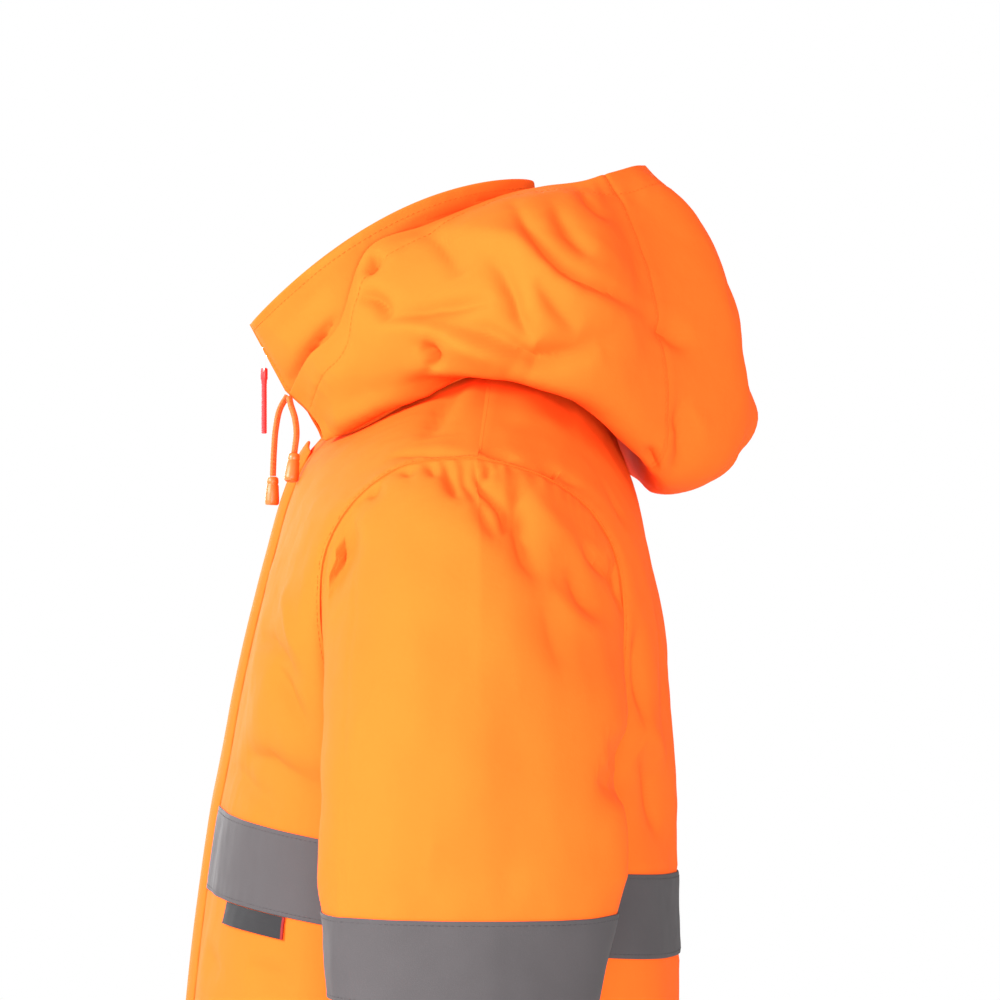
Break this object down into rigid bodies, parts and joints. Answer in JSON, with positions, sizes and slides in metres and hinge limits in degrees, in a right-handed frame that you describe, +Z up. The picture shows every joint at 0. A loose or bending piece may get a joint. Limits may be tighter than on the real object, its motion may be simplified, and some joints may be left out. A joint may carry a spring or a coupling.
{
  "type": "work jacket",
  "caption": "Orange hi-vis work jacket in its worn shape: stand collar, hood hanging down behind, zip under a storm flap, drawcords and grey reflective tapes.",
  "frame": {"origin": "midway between the neck ends of the two shoulder seams, where the jacket hangs on the wearer's shoulders", "axes": "+Z up the wearer's back, front of the jacket to -Y, wearer's left to +X"},
  "size_m": [0.7184, 0.3775, 0.965],
  "materials": {
    "shell_cloth": "matte",
    "hood_cloth": "matte",
    "reflective_tape": "satin",
    "zip_tape": "matte",
    "slider_metal": "painted",
    "pull_grip": "satin",
    "cord": "matte",
    "cord_end": "satin",
    "label_weave": "matte"
  },
  "bodies": {
    "jacket": {"front_left": "shell_cloth", "front_right": "shell_cloth", "back": "shell_cloth", "sleeve_left": "shell_cloth", "sleeve_right": "shell_cloth", "storm_flap": "shell_cloth", "collar": "hood_cloth", "hood_left": "hood_cloth", "hood_right": "hood_cloth", "hood_centre": "hood_cloth", "chest_band_left": "reflective_tape", "chest_band_right": "reflective_tape", "chest_band_back": "reflective_tape", "waist_band_left": "reflective_tape", "waist_band_right": "reflective_tape", "waist_band_back": "reflective_tape", "arm_band_left": "reflective_tape", "arm_band_right": "reflective_tape", "wrist_band_left": "reflective_tape", "wrist_band_right": "reflective_tape", "zip": "zip_tape", "zip_slider": "slider_metal", "drawcord_left": "cord", "cord_end_left": "cord_end", "drawcord_right": "cord", "cord_end_right": "cord_end", "label": "label_weave"},
    "pull": {"zip_pull": "pull_grip"}
  },
  "joints": [
    {"name": "pull_swing", "type": "hinge", "parent": "jacket", "child": "pull", "pos_m": [0, -0.14119, 0.01244], "axis": [1, 0, 0], "range_deg": [-110, 20]}
  ]
}
